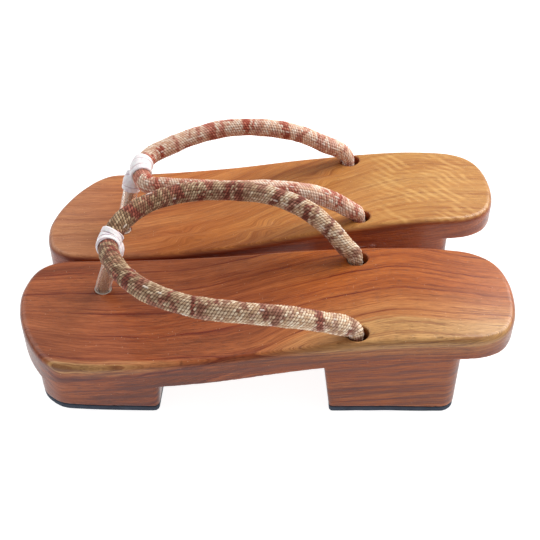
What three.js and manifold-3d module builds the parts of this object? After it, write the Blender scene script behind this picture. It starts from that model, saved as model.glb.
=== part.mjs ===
// A pair of massage-spa clogs: one-piece wooden soles on rubber pads, each with a woven strap that a cord in a clear
// sleeve holds down between the first two toes.
//
// Units are millimetres. +X runs from toe to heel, +Z is up from the floor, and the left slipper stands at -Y.
// A slipper is built in its own coordinates: x from the tip of the toe, y from the centre line, positive towards
// the big toe, and z from the floor. The right slipper is the left one's mirror image with a strap of its own lie.

import * as THREE from 'three';
import { mergeVertices } from 'three/addons/utils/BufferGeometryUtils.js';
import Module from 'manifold-3d';

const wasm = await Module();
wasm.setup();

// ---- Driving dimensions ----

const LENGTH = 250;
const FIT_GAP = 0.2;

// How the pair stands: toes a little apart in length, each slipper turned a little out from the other.
const PAIR_SPACING = 86.4;
const PAIR_STAGGER = 3.4;
const TOE_IN = THREE.MathUtils.degToRad(1.73);
const PAIR_CENTRE = { x: 0.2, y: -3.8 };

// Height of the deck's top every 50 mm of length, from 50 mm before the toe to 50 mm past the heel.
const DECK_STEP = 50;
const DECK_HEIGHTS = [29.4, 29.6, 30.2, 34.9, 43.1, 48.9, 48.6, 47.8];
const DECK_THICK_TOE = 16.5;
const DECK_THICK_HEEL = 12.6;
const TOP_ROUND = 3;

// The deck's outline: at each x, how far it reaches towards the big toe and towards the outer side.
const TOE_TIP_Y = 11.3;
const HEEL_TIP_Y = 1;
const OUTLINE = [
  [2, 25.6, -1.1],
  [5, 31.5, -10.1],
  [10, 35.8, -20.7],
  [15, 37.9, -28.4],
  [21, 38.9, -35.4],
  [29, 39.6, -40.6],
  [40, 40.1, -41.6],
  [60, 40.6, -41.4],
  [100, 40.2, -40.1],
  [140, 38.5, -37.9],
  [180, 36.4, -35.7],
  [218, 34.4, -34.2],
  [232, 32.5, -32.4],
  [241, 27.6, -27.9],
  [246, 21, -21.4],
  [249, 11.6, -12],
];
const OUTLINE_STEPS = 2;

// The two blocks under the deck, sawn from the same piece of wood.
const FRONT_BLOCK = { start: 13.5, end: 78.3, frontCorner: 8, rearCorner: 3, top: 22 };
const HEEL_BLOCK = { start: 157.6, end: 223, frontCorner: 2, rearCorner: 7, top: 40 };
const HEEL_FRONT_LEAN = 0.125;
const HEEL_FRONT_SKEW = 0.06;
const BLOCK_INSET = 0.15;

const PAD_THICK = 3.2;
const PAD_INSET = 0.25;
const BLOCK_BOTTOM = PAD_THICK + FIT_GAP;

// The clear sleeve and the cord between the toes.
const TOE_HOLE = { x: 42.4, y: 15.3, radius: 4.3 };
const TOE_POCKET = { radius: 8, top: 13 };
const SLEEVE_RADIUS = 4;
const SLEEVE_BORE = 2.9;
const SLEEVE_BOTTOM = 15;
const SLEEVE_LENGTH_IN_WOOD = 15.5;
const TOE_CORD_RADIUS = 2.2;
const LOOP = { inner: 4.45, outer: 4.9, width: 7 };

// The strap and where its two ends go down into the heel block.
const STRAP_RADIUS = 4.9;
const STRAP_RADIUS_AT_LOOP = 4.2;
const STRAP_RADIUS_IN_HOLE = 3.8;
const STRAP_DEPTH_IN_HOLE = 11;
const REAR_HOLE_RADIUS = 5.2;
const REAR_HOLE_SLANT = 0.13;
const REAR_HOLES = { inner: { x: 174.2, y: 26.5 }, outer: { x: 173, y: -28.5 } };
const STRAP_OFFSET_IN_HOLE = -1.1;
const REAR_POCKET = { radius: 7.5, top: 20, y: 24 };
const REAR_CORD_RADIUS = 2.4;
const KNOT_RADIUS = 5.6;

// The tape wound over the loop and the strap, and the collar of it round the sleeve's top.
const TAPE_BAND = { inner: 5.1, outer: 5.7, width: 12.5 };
const TAPE_COLLAR = { inner: 4.25, outer: 4.9, width: { left: 8, right: 5.5 } };

// How each strap lies: the sleeve's upper end, the middle of the strap's loop above it, and each arm back to its hole.
const STRAP_LIES = {
  left: {
    sleeveTop: [51.3, 14.6, 57.8],
    apex: [50.2, 10.6, 65.2],
    inner: [[53.3, 18.3, 68.9], [58, 24.6, 71.2], [66.5, 33.4, 72.7], [83, 42, 73.5], [105, 44.8, 73.8],
      [127, 43.6, 73], [147, 38, 68.2], [160.5, 31.8, 60]],
    outer: [[52.4, -0.2, 67.4], [56.5, -10, 69.3], [63, -19.8, 70.3], [76, -31.3, 70.6], [97, -39.9, 70.4],
      [120, -42.3, 69.6], [142, -39.2, 65], [157.5, -34, 57.6]],
  },
  right: {
    sleeveTop: [49.9, 10, 59.6],
    apex: [54.6, 7.4, 65.9],
    inner: [[55.6, 13.4, 65], [58.2, 19, 64.6], [62.6, 22.4, 64.6], [69.5, 24, 65.3], [85, 27.5, 66.3],
      [106, 29.8, 67], [128, 28.9, 66.3], [147.5, 27, 62], [161.5, 26.7, 55.6]],
    outer: [[56.4, 0.8, 66.2], [60.2, -5.8, 66.5], [66.4, -10.4, 67.2], [81, -19.4, 68.8], [101, -26.8, 70],
      [123, -28.4, 69.2], [143, -28.9, 64.6], [158, -28.8, 57.4]],
  },
};

// ---- Materials ----

function material(color, roughness, metalness = 0) {
  return new THREE.MeshStandardMaterial({ color, roughness, metalness });
}

const MATERIALS = {
  wood: material(0xa8572a, 0.35),
  rubber: material(0x2b3645, 0.8),
  cloth: material(0xb89a78, 0.9),
  tape: material(0xe3d3d2, 0.7),
  sleeve: material(0xe8ddd0, 0.15),
  cord: material(0xe6e0d4, 0.9),
};

// ---- Geometry helpers ----

function signedVolume(geometry) {
  const p = geometry.attributes.position;
  const index = geometry.index;
  const [a, b, c] = [new THREE.Vector3(), new THREE.Vector3(), new THREE.Vector3()];
  let volume = 0;
  for (let i = 0; i < index.count; i += 3) {
    a.fromBufferAttribute(p, index.getX(i));
    b.fromBufferAttribute(p, index.getX(i + 1));
    c.fromBufferAttribute(p, index.getX(i + 2));
    volume += a.dot(b.cross(c)) / 6;
  }
  return volume;
}

// Turns every face round if the geometry's faces point inwards, as they do after mirroring.
function facingOut(geometry) {
  if (signedVolume(geometry) < 0) {
    const index = geometry.index;
    for (let i = 0; i < index.count; i += 3) {
      const second = index.getX(i + 1);
      index.setX(i + 1, index.getX(i + 2));
      index.setX(i + 2, second);
    }
  }
  return geometry;
}

function shared(geometry) {
  geometry.deleteAttribute('normal');
  geometry.deleteAttribute('uv');
  return mergeVertices(geometry, 1e-4);
}

function toSolid(geometry) {
  const g = facingOut(geometry.index && !geometry.attributes.normal ? geometry : shared(geometry));
  const vertProperties = new Float32Array(g.attributes.position.array);
  const triVerts = new Uint32Array(g.index.array);
  return new wasm.Manifold(new wasm.Mesh({ numProp: 3, vertProperties, triVerts }));
}

function toGeometry(solid) {
  const mesh = solid.getMesh();
  const g = new THREE.BufferGeometry();
  const positions = new Float32Array(mesh.numVert * 3);
  for (let v = 0; v < mesh.numVert; v++) {
    for (let k = 0; k < 3; k++) positions[v * 3 + k] = mesh.vertProperties[v * mesh.numProp + k];
  }
  g.setAttribute('position', new THREE.BufferAttribute(positions, 3));
  g.setIndex(Array.from(mesh.triVerts));
  return g;
}

// Joins a stack of equal rings of points into one closed body. cap(n) lists the triangles that close an end ring.
function skin(rings, cap) {
  const n = rings[0].length;
  const positions = rings.flat().flatMap((p) => [p.x, p.y, p.z]);
  const index = [];
  for (let r = 0; r < rings.length - 1; r++) {
    for (let i = 0; i < n; i++) {
      const j = (i + 1) % n;
      const [a, b] = [r * n + i, r * n + j];
      index.push(a, b, b + n, a, b + n, a + n);
    }
  }
  const last = (rings.length - 1) * n;
  for (const [a, b, c] of cap(n)) {
    index.push(a, c, b, last + a, last + b, last + c);
  }
  const g = new THREE.BufferGeometry();
  g.setAttribute('position', new THREE.Float32BufferAttribute(positions, 3));
  g.setIndex(index);
  return facingOut(g);
}

// Closes a convex ring with a fan.
function fanCap(n) {
  return Array.from({ length: n - 2 }, (_, i) => [0, i + 1, i + 2]);
}

// Closes a long ring, whose point i faces point n - i across its width, with a strip of narrow pairs.
function stripCap(n) {
  const half = n / 2;
  const triangles = [[0, 1, n - 1]];
  for (let i = 1; i < half - 1; i++) {
    triangles.push([i, i + 1, n - i - 1], [i, n - i - 1, n - i]);
  }
  triangles.push([half - 1, half, half + 1]);
  return triangles;
}

// A round rod along a curve, whose radius may change with the fraction t of its length.
function rod(curve, radiusAt, steps, sides) {
  const frames = curve.computeFrenetFrames(steps, false);
  const rings = [];
  for (let s = 0; s <= steps; s++) {
    const centre = curve.getPointAt(s / steps);
    const radius = radiusAt(s / steps);
    const ring = [];
    for (let i = 0; i < sides; i++) {
      const angle = (i / sides) * 2 * Math.PI;
      ring.push(centre.clone()
        .addScaledVector(frames.normals[s], radius * Math.cos(angle))
        .addScaledVector(frames.binormals[s], radius * Math.sin(angle)));
    }
    rings.push(ring);
  }
  return skin(rings, fanCap);
}

// A piece of another curve between two of its length fractions.
function stretch(curve, from, to) {
  const count = 12;
  const points = Array.from({ length: count + 1 }, (_, i) => curve.getPointAt(from + ((to - from) * i) / count));
  return new THREE.CatmullRomCurve3(points);
}

function pipe(curve, inner, outer, steps, sides) {
  const wall = toSolid(rod(curve, () => outer, steps, sides));
  const [start, end] = [curve.getPoint(0), curve.getPoint(1)];
  const tail = curve.getTangent(0).multiplyScalar(-1).add(start);
  const head = curve.getTangent(1).add(end);
  const inside = Array.from({ length: 9 }, (_, i) => curve.getPointAt(i / 8));
  const bore = new THREE.CatmullRomCurve3([tail, ...inside, head]);
  return wall.subtract(toSolid(rod(bore, () => inner, steps, sides)));
}

function drill(radius, bottom, top, sides = 32) {
  const axis = top.clone().sub(bottom);
  const g = new THREE.CylinderGeometry(radius, radius, axis.length(), sides);
  g.applyQuaternion(new THREE.Quaternion().setFromUnitVectors(new THREE.Vector3(0, 1, 0), axis.clone().normalize()));
  const middle = bottom.clone().add(top).multiplyScalar(0.5);
  g.translate(middle.x, middle.y, middle.z);
  return toSolid(g);
}

function upright(radius, x, y, bottom, top, sides = 32) {
  return drill(radius, new THREE.Vector3(x, y, bottom), new THREE.Vector3(x, y, top), sides);
}

// ---- The wooden sole ----

// Equally spaced heights make this spline a function of x.
const deckSpline = new THREE.SplineCurve(
  DECK_HEIGHTS.map((z, i) => new THREE.Vector2((i - 1) * DECK_STEP, z)),
);

function deckTop(x) {
  return deckSpline.getPoint((x / DECK_STEP + 1) / (DECK_HEIGHTS.length - 1)).y;
}

function deckUnderside(x) {
  return deckTop(x) - THREE.MathUtils.lerp(DECK_THICK_TOE, DECK_THICK_HEEL, x / LENGTH);
}

function outlineLoop() {
  const inner = OUTLINE.map(([x, y]) => new THREE.Vector3(x, y, 0));
  const outer = OUTLINE.map(([x, , y]) => new THREE.Vector3(x, y, 0)).reverse();
  const toe = new THREE.Vector3(0, TOE_TIP_Y, 0);
  const heel = new THREE.Vector3(LENGTH, HEEL_TIP_Y, 0);
  const curve = new THREE.CatmullRomCurve3([toe, ...inner, heel, ...outer], true, 'centripetal');
  const count = 2 * (OUTLINE.length + 1) * OUTLINE_STEPS;
  return Array.from({ length: count }, (_, i) => curve.getPoint(i / count));
}

const loop = outlineLoop();

// The outline drawn in by a distance, each point along its own normal.
function drawnIn(points, distance) {
  return points.map((p, i) => {
    const along = points[(i + 1) % points.length].clone().sub(points.at(i - 1)).normalize();
    return new THREE.Vector3(p.x + along.y * distance, p.y - along.x * distance, 0);
  });
}

// Where the outline stands at x, on the inner (big toe) or the outer side.
function edgeAt(side, x) {
  const half = loop.length / 2;
  const points = side === 'inner' ? loop.slice(0, half + 1) : [...loop.slice(half), loop[0]].reverse();
  const next = points.findIndex((p) => p.x >= x);
  const [a, b] = [points[next - 1], points[next]];
  return THREE.MathUtils.lerp(a.y, b.y, (x - a.x) / (b.x - a.x));
}

function deck() {
  const bottom = loop.map((p) => new THREE.Vector3(p.x, p.y, deckUnderside(p.x)));
  const rings = [bottom];
  const roundSteps = 3;
  for (let s = 0; s <= roundSteps; s++) {
    const angle = (s / roundSteps) * (Math.PI / 2);
    const inset = TOP_ROUND * (1 - Math.cos(angle));
    const drop = TOP_ROUND * (1 - Math.sin(angle));
    rings.push(drawnIn(loop, inset).map((p) => p.setZ(deckTop(p.x) - drop)));
  }
  return toSolid(skin(rings, stripCap));
}

// The plan of a block or pad: it follows the deck's outline along its sides and has round corners.
function footprint({ start, end, frontCorner, rearCorner }, inset) {
  const [x0, x1] = [start + inset, end - inset];
  const outer = (x) => edgeAt('outer', x) + inset;
  const inner = (x) => edgeAt('inner', x) - inset;
  const sideSteps = 8;
  const sideX = Array.from({ length: sideSteps + 1 }, (_, i) => (
    THREE.MathUtils.lerp(x0 + frontCorner, x1 - rearCorner, i / sideSteps)));
  const shape = new THREE.Shape();
  shape.moveTo(x0, outer(x0) + frontCorner);
  shape.quadraticCurveTo(x0, outer(x0), sideX[0], outer(sideX[0]));
  sideX.slice(1).forEach((x) => shape.lineTo(x, outer(x)));
  shape.quadraticCurveTo(x1, outer(x1), x1, outer(x1) + rearCorner);
  shape.lineTo(x1, inner(x1) - rearCorner);
  shape.quadraticCurveTo(x1, inner(x1), sideX[sideSteps], inner(sideX[sideSteps]));
  sideX.slice(0, -1).reverse().forEach((x) => shape.lineTo(x, inner(x)));
  shape.quadraticCurveTo(x0, inner(x0), x0, inner(x0) - frontCorner);
  shape.closePath();
  return shape;
}

// The heel block's front face leans forward at the top and runs a little askew across the slipper.
function heelFrontShift(x, y, z) {
  if (x > (HEEL_BLOCK.start + HEEL_BLOCK.end) / 2) return 0;
  return HEEL_FRONT_LEAN * (BLOCK_BOTTOM + 28 - z) - HEEL_FRONT_SKEW * (y - edgeAt('outer', HEEL_BLOCK.start));
}

function slab(shape, bottom, height, shift = () => 0) {
  const g = new THREE.ExtrudeGeometry(shape, { depth: height, bevelEnabled: false, curveSegments: 5 });
  g.translate(0, 0, bottom);
  const p = g.attributes.position;
  for (let i = 0; i < p.count; i++) p.setX(i, p.getX(i) + shift(p.getX(i), p.getY(i), p.getZ(i)));
  return g;
}

function block(plan, shift) {
  return toSolid(slab(footprint(plan, BLOCK_INSET), BLOCK_BOTTOM, plan.top - BLOCK_BOTTOM, shift));
}

// A rear hole leans inwards as it goes down, because the strap comes to it from outside.
function rearHole(side) {
  const { x, y } = REAR_HOLES[side];
  const mouth = new THREE.Vector3(x, y, deckTop(x));
  const down = new THREE.Vector3(0, -Math.sign(y) * REAR_HOLE_SLANT, -1).normalize();
  const pocketY = Math.sign(y) * REAR_POCKET.y;
  return { mouth, down, pocketY, x };
}

function sole() {
  let wood = deck().add(block(FRONT_BLOCK)).add(block(HEEL_BLOCK, heelFrontShift));
  wood = wood.subtract(upright(TOE_HOLE.radius, TOE_HOLE.x, TOE_HOLE.y, 0, 40));
  wood = wood.subtract(upright(TOE_POCKET.radius, TOE_HOLE.x, TOE_HOLE.y, 0, TOE_POCKET.top));
  for (const side of ['inner', 'outer']) {
    const { mouth, down, pocketY, x } = rearHole(side);
    const [above, below] = [-4, 31];
    wood = wood.subtract(drill(REAR_HOLE_RADIUS, mouth.clone().addScaledVector(down, above),
      mouth.clone().addScaledVector(down, below)));
    wood = wood.subtract(upright(REAR_POCKET.radius, x, pocketY, 0, REAR_POCKET.top));
  }
  return toGeometry(wood);
}

function frontPad() {
  return shared(slab(footprint(FRONT_BLOCK, PAD_INSET), 0, PAD_THICK));
}

function heelPad() {
  const shiftAtBottom = (x, y) => heelFrontShift(x, y, BLOCK_BOTTOM);
  return shared(slab(footprint(HEEL_BLOCK, PAD_INSET), 0, PAD_THICK, shiftAtBottom));
}

// ---- The strap and its cords ----

function vector([x, y, z]) {
  return new THREE.Vector3(x, y, z);
}

// The last of an arm: it bends down over the hole's edge and follows the hole, on the side nearer the toe.
function intoHole(side) {
  const { mouth, down } = rearHole(side);
  const outwards = Math.sign(mouth.y);
  const line = mouth.clone().setX(mouth.x + STRAP_OFFSET_IN_HOLE);
  return [
    line.clone().add(new THREE.Vector3(-5.4, outwards * 1.9, 6.2)),
    line.clone().add(new THREE.Vector3(-0.9, outwards * 0.5, 2.8)),
    line.clone().addScaledVector(down, 2.5),
    line.clone().addScaledVector(down, STRAP_DEPTH_IN_HOLE),
  ];
}

function strapCurve(lie) {
  const inner = [...lie.inner.map(vector), ...intoHole('inner')].reverse();
  const outer = [...lie.outer.map(vector), ...intoHole('outer')];
  return new THREE.CatmullRomCurve3([...inner, vector(lie.apex), ...outer], false, 'centripetal');
}

// The length fraction at which the strap's curve passes its apex.
function apexFraction(curve, lie) {
  const apex = vector(lie.apex);
  const samples = 2000;
  let best = 0;
  for (let i = 0; i <= samples; i++) {
    if (curve.getPointAt(i / samples).distanceTo(apex) < curve.getPointAt(best).distanceTo(apex)) {
      best = i / samples;
    }
  }
  return best;
}

function strap(curve, apexAt) {
  const length = curve.getLength();
  const radiusAt = (t) => {
    const fromEnd = Math.min(t, 1 - t) * length;
    const fromApex = Math.abs(t - apexAt) * length;
    const narrowed = THREE.MathUtils.smoothstep(fromEnd, STRAP_DEPTH_IN_HOLE + 1, STRAP_DEPTH_IN_HOLE + 11);
    const squeezed = THREE.MathUtils.smoothstep(fromApex, LOOP.width / 2 + 1.2, TAPE_BAND.width / 2 + 1.2);
    return Math.min(
      THREE.MathUtils.lerp(STRAP_RADIUS_IN_HOLE, STRAP_RADIUS, narrowed),
      THREE.MathUtils.lerp(STRAP_RADIUS_AT_LOOP, STRAP_RADIUS, squeezed),
    );
  };
  return rod(curve, radiusAt, 96, 12);
}

// A cord with a barrel-shaped knot at its lower end, around a vertical line through the knot's pocket.
function knot(x, y, bottom, top, neck) {
  const middle = (bottom + top) / 2;
  const profile = [
    [0, bottom],
    [KNOT_RADIUS * 0.6, bottom],
    [KNOT_RADIUS * 0.95, bottom + 1.4],
    [KNOT_RADIUS, middle],
    [KNOT_RADIUS * 0.9, top - 1.6],
    [neck, top],
    [0, top],
  ].map(([r, z]) => new THREE.Vector2(r, z));
  const g = new THREE.LatheGeometry(profile, 12);
  g.rotateX(Math.PI / 2);
  g.translate(x, y, 0);
  return toSolid(g);
}

function rearCord(side) {
  const { mouth, down, pocketY, x } = rearHole(side);
  const top = mouth.clone().addScaledVector(down, STRAP_DEPTH_IN_HOLE + FIT_GAP);
  top.x += STRAP_OFFSET_IN_HOLE;
  const path = new THREE.CatmullRomCurve3([
    top,
    top.clone().addScaledVector(down, 6),
    mouth.clone().addScaledVector(down, 25),
    new THREE.Vector3(x, pocketY, 14),
  ]);
  const stem = toSolid(rod(path, () => REAR_CORD_RADIUS, 6, 8));
  return toGeometry(stem.add(knot(x, pocketY, 5, 17, REAR_CORD_RADIUS)));
}

// The sleeve's line: straight up out of its hole, then leaning back to the strap.
function sleeveCurve(lie) {
  const { x, y } = TOE_HOLE;
  const top = vector(lie.sleeveTop);
  const exit = new THREE.Vector3(x, y, SLEEVE_BOTTOM + SLEEVE_LENGTH_IN_WOOD);
  return new THREE.CatmullRomCurve3([
    new THREE.Vector3(x, y, SLEEVE_BOTTOM),
    new THREE.Vector3(x, y, SLEEVE_BOTTOM + SLEEVE_LENGTH_IN_WOOD / 2),
    exit,
    exit.clone().lerp(top, 0.45),
    top,
  ]);
}

function toeSleeve(lie) {
  return toGeometry(pipe(sleeveCurve(lie), SLEEVE_BORE, SLEEVE_RADIUS, 12, 16));
}

// The cord's line up the sleeve, on to the underside of the loop round the strap.
function toeCordStem(lie, curve, apexAt) {
  const apex = curve.getPointAt(apexAt);
  const along = curve.getTangentAt(apexAt);
  const down = vector(lie.sleeveTop).sub(apex);
  down.addScaledVector(along, -down.dot(along)).normalize();
  const meeting = apex.clone().addScaledVector(down, LOOP.inner + 0.25);
  const sleeve = sleeveCurve(lie);
  const line = [0, 0.25, 0.5, 0.75, 1].map((t) => sleeve.getPointAt(t));
  const clearOfSleeve = sleeve.getTangentAt(1).multiplyScalar(1.6).add(line.at(-1));
  const start = new THREE.Vector3(TOE_HOLE.x, TOE_HOLE.y, 11);
  return new THREE.CatmullRomCurve3([start, ...line, clearOfSleeve, meeting]);
}

function toeCord(lie, curve, apexAt) {
  const half = LOOP.width / 2 / curve.getLength();
  const ring = pipe(stretch(curve, apexAt - half, apexAt + half), LOOP.inner, LOOP.outer, 5, 20);
  const path = toeCordStem(lie, curve, apexAt);
  const strapSpace = stretch(curve, apexAt - 3 * half, apexAt + 3 * half);
  const stem = toSolid(rod(path, () => TOE_CORD_RADIUS, 16, 10))
    .subtract(toSolid(rod(strapSpace, () => LOOP.inner, 10, 20)));
  return toGeometry(ring.add(stem).add(knot(TOE_HOLE.x, TOE_HOLE.y, 4.6, 12.4, TOE_CORD_RADIUS)));
}

function strapTape(lie, curve, apexAt) {
  const half = TAPE_BAND.width / 2 / curve.getLength();
  const band = pipe(stretch(curve, apexAt - half, apexAt + half), TAPE_BAND.inner, TAPE_BAND.outer, 7, 20);
  const path = toeCordStem(lie, curve, apexAt);
  return toGeometry(band.subtract(toSolid(rod(path, () => TOE_CORD_RADIUS + FIT_GAP, 16, 10))));
}

function sleeveTape(foot, lie, curve, apexAt) {
  const sleeve = sleeveCurve(lie);
  const width = TAPE_COLLAR.width[foot] / sleeve.getLength();
  const collar = pipe(stretch(sleeve, 1 - width, 1), TAPE_COLLAR.inner, TAPE_COLLAR.outer, 5, 20);
  const half = TAPE_BAND.width / curve.getLength();
  const bandSpace = stretch(curve, apexAt - half, apexAt + half);
  return toGeometry(collar.subtract(toSolid(rod(bandSpace, () => TAPE_BAND.outer + FIT_GAP, 10, 20))));
}

// ---- The pair ----

function slipper(foot) {
  const lie = STRAP_LIES[foot];
  const curve = strapCurve(lie);
  const apexAt = apexFraction(curve, lie);
  const pieces = [
    ['sole', 'wood', sole()],
    ['front_pad', 'rubber', frontPad()],
    ['heel_pad', 'rubber', heelPad()],
    ['strap', 'cloth', strap(curve, apexAt)],
    ['strap_tape', 'tape', strapTape(lie, curve, apexAt)],
    ['sleeve_tape', 'tape', sleeveTape(foot, lie, curve, apexAt)],
    ['toe_sleeve', 'sleeve', toeSleeve(lie)],
    ['toe_cord', 'cord', toeCord(lie, curve, apexAt)],
    ['rear_cord_inner', 'cord', rearCord('inner')],
    ['rear_cord_outer', 'cord', rearCord('outer')],
  ];
  const side = foot === 'left' ? -1 : 1;
  const group = new THREE.Group();
  for (const [name, finish, geometry] of pieces) {
    geometry.translate(-LENGTH / 2, 0, 0);
    geometry.scale(1, -side, 1);
    const mesh = new THREE.Mesh(facingOut(geometry), MATERIALS[finish]);
    mesh.name = `${foot}_${name}`;
    group.add(mesh);
  }
  group.position.set(side * PAIR_STAGGER / 2 - PAIR_CENTRE.x, side * PAIR_SPACING / 2 - PAIR_CENTRE.y, 0);
  group.rotation.z = side * TOE_IN;
  return group;
}

const pair = new THREE.Group();
pair.add(slipper('left'), slipper('right'));

export default pair;
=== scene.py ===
# The looks of a pair of spa slippers, wooden clogs with a woven strap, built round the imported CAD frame.
#
# Shapes are worked out in millimetres in a slipper's own coordinates: x from the toe's tip to the heel, y
# from the centre line towards the big toe, z up from the floor. to_frame() carries them into the shared
# frame, in metres. The right slipper is the left one's mirror image, with a strap that lies in its own way.

import math

import bpy
import numpy as np
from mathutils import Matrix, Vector


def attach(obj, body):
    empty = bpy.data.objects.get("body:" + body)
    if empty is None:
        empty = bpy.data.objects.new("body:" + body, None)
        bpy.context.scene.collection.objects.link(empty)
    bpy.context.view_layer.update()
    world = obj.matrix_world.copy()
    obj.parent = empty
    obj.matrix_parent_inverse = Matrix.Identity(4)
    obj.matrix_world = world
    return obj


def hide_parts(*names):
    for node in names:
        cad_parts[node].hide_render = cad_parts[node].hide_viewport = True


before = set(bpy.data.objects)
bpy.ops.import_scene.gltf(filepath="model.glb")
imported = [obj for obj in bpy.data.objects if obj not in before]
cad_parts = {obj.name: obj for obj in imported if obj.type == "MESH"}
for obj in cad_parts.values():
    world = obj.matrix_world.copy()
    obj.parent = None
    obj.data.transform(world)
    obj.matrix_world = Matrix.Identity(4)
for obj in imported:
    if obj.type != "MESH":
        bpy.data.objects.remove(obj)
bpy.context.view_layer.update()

MM = 0.001
TURN = 2 * math.pi

# ---- Camera and light ----

CAMERA_PLACE = (0.0096, -0.38367, 0.3492)
CAMERA_PITCH = math.radians(49.893)
CAMERA_YAW = math.radians(1.03)
CAMERA_LENS = 61.74
SKY = 0.36


def make_camera():
    data = bpy.data.cameras.new("camera")
    data.lens = CAMERA_LENS
    data.sensor_width = 36
    data.clip_start = 0.01
    camera = bpy.data.objects.new("camera", data)
    camera.location = CAMERA_PLACE
    camera.rotation_euler = (CAMERA_PITCH, 0, CAMERA_YAW)
    bpy.context.scene.collection.objects.link(camera)
    bpy.context.scene.camera = camera


def make_light(name, place, size, power, color):
    data = bpy.data.lights.new(name, "AREA")
    data.shape = "DISK"
    data.size = size
    data.energy = power
    data.color = color
    light = bpy.data.objects.new(name, data)
    light.location = place
    light.rotation_euler = (-Vector(place)).to_track_quat("-Z", "Y").to_euler()
    bpy.context.scene.collection.objects.link(light)


make_camera()
make_light("window", (0.75, 0.5, 0.85), 1.0, 19.5, (1.0, 0.97, 0.93))
make_light("fill", (-0.8, 0.45, 0.8), 1.0, 4.5, (1.0, 0.98, 0.96))

# ---- The slippers' sizes, as in the CAD part ----

LENGTH = 250
PAIR_SPACING = 86.4
PAIR_STAGGER = 3.4
TOE_IN = math.radians(1.73)
PAIR_CENTRE = (0.2, -3.8)
FEET = {"left": -1, "right": 1}

DECK_STEP = 50
DECK_HEIGHTS = [29.4, 29.6, 30.2, 34.9, 43.1, 48.9, 48.6, 47.8]
DECK_THICK_TOE = 16.5
DECK_THICK_HEEL = 12.6
TOP_ROUND = 3
UNDER_ROUND = 0.8

TOE_TIP_Y = 11.3
HEEL_TIP_Y = 1
OUTLINE = [
    (2, 25.6, -1.1), (5, 31.5, -10.1), (10, 35.8, -20.7), (15, 37.9, -28.4),
    (21, 38.9, -35.4), (29, 39.6, -40.6), (40, 40.1, -41.6), (60, 40.6, -41.4),
    (100, 40.2, -40.1), (140, 38.5, -37.9), (180, 36.4, -35.7), (218, 34.4, -34.2),
    (232, 32.5, -32.4), (241, 27.6, -27.9), (246, 21, -21.4), (249, 11.6, -12),
]

FRONT_BLOCK = {"start": 13.5, "end": 78.3, "corners": (8, 3), "top": 22}
HEEL_BLOCK = {"start": 157.6, "end": 223, "corners": (2, 7), "top": 40}
HEEL_FRONT_LEAN = 0.125
HEEL_FRONT_SKEW = 0.06
HEEL_LEAN_HEIGHT = 28
HEEL_OUTER_EDGE = -36.8
FRONT_REAR_LEAN = 0.08
FRONT_LEAN_HEIGHT = 18
FRONT_REAR_SET = 0.7
LEAN_BLEND = 10
BLOCK_ROUND = 0.7
PAD_THICK = 3.2
PAD_INSET = 0.2
PAD_ROUND = 0.5
BLOCK_BOTTOM = PAD_THICK + 0.2

TOE_HOLE = (42.4, 15.3, 4.3)
TOE_POCKET = (8, 13)
REAR_HOLE_RADIUS = 5.2
REAR_HOLE_SLANT = 0.13
REAR_HOLES = {"inner": (174.2, 26.5), "outer": (173, -28.5)}
STRAP_OFFSET_IN_HOLE = -1.1
REAR_POCKET = {"radius": 7.5, "top": 20, "y": 24}
HOLE_RIM = 0.7
TOE_HOLE_RIM = 0.2
POCKET_RIM = 0.3

SLEEVE_RADIUS = 4
SLEEVE_BORE = 2.9
SLEEVE_BOTTOM = 15
SLEEVE_LENGTH_IN_WOOD = 15.5
SLEEVE_LIP = 0.5
LIP_HEIGHT = 30.1
TOE_CORD_RADIUS = 2.2
REAR_CORD_RADIUS = 2.4
ROPE_LAY = 7
KNOT_RADIUS = 5.6
KNOT_TURN = 3.4
TOE_KNOT_HEIGHTS = (4.8, 8.6, 12.4)
REAR_KNOT_HEIGHTS = (14, 9, 5.2)
REAR_KNOT_LENGTH = 11
LOOP = {"inner": 4.45, "outer": 4.9, "width": 7}
TAPE_BAND = {"inner": 5.1, "outer": 5.7, "width": 12.5}
TAPE_COLLAR = {"inner": 4.25, "outer": 4.9, "width": {"left": 8, "right": 5.5}}

STRAP_RADIUS = 4.9
STRAP_RADIUS_AT_LOOP = 4.2
STRAP_RADIUS_IN_HOLE = 3.8
STRAP_DEPTH_IN_HOLE = 11

STRAP_LIES = {
    "left": {
        "sleeve_top": (51.3, 14.6, 57.8),
        "apex": (50.2, 10.6, 65.2),
        "inner": [(53.3, 18.3, 68.9), (58, 24.6, 71.2), (66.5, 33.4, 72.7), (83, 42, 73.5),
                  (105, 44.8, 73.8), (127, 43.6, 73), (147, 38, 68.2), (160.5, 31.8, 60)],
        "outer": [(52.4, -0.2, 67.4), (56.5, -10, 69.3), (63, -19.8, 70.3), (76, -31.3, 70.6),
                  (97, -39.9, 70.4), (120, -42.3, 69.6), (142, -39.2, 65), (157.5, -34, 57.6)],
    },
    "right": {
        "sleeve_top": (49.9, 10, 59.6),
        "apex": (54.6, 7.4, 65.9),
        "inner": [(55.6, 13.4, 65), (58.2, 19, 64.6), (62.6, 22.4, 64.6), (69.5, 24, 65.3),
                  (85, 27.5, 66.3), (106, 29.8, 67), (128, 28.9, 66.3), (147.5, 27, 62), (161.5, 26.7, 55.6)],
        "outer": [(56.4, 0.8, 66.2), (60.2, -5.8, 66.5), (66.4, -10.4, 67.2), (81, -19.4, 68.8),
                  (101, -26.8, 70), (123, -28.4, 69.2), (143, -28.9, 64.6), (158, -28.8, 57.4)],
    },
}


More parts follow.
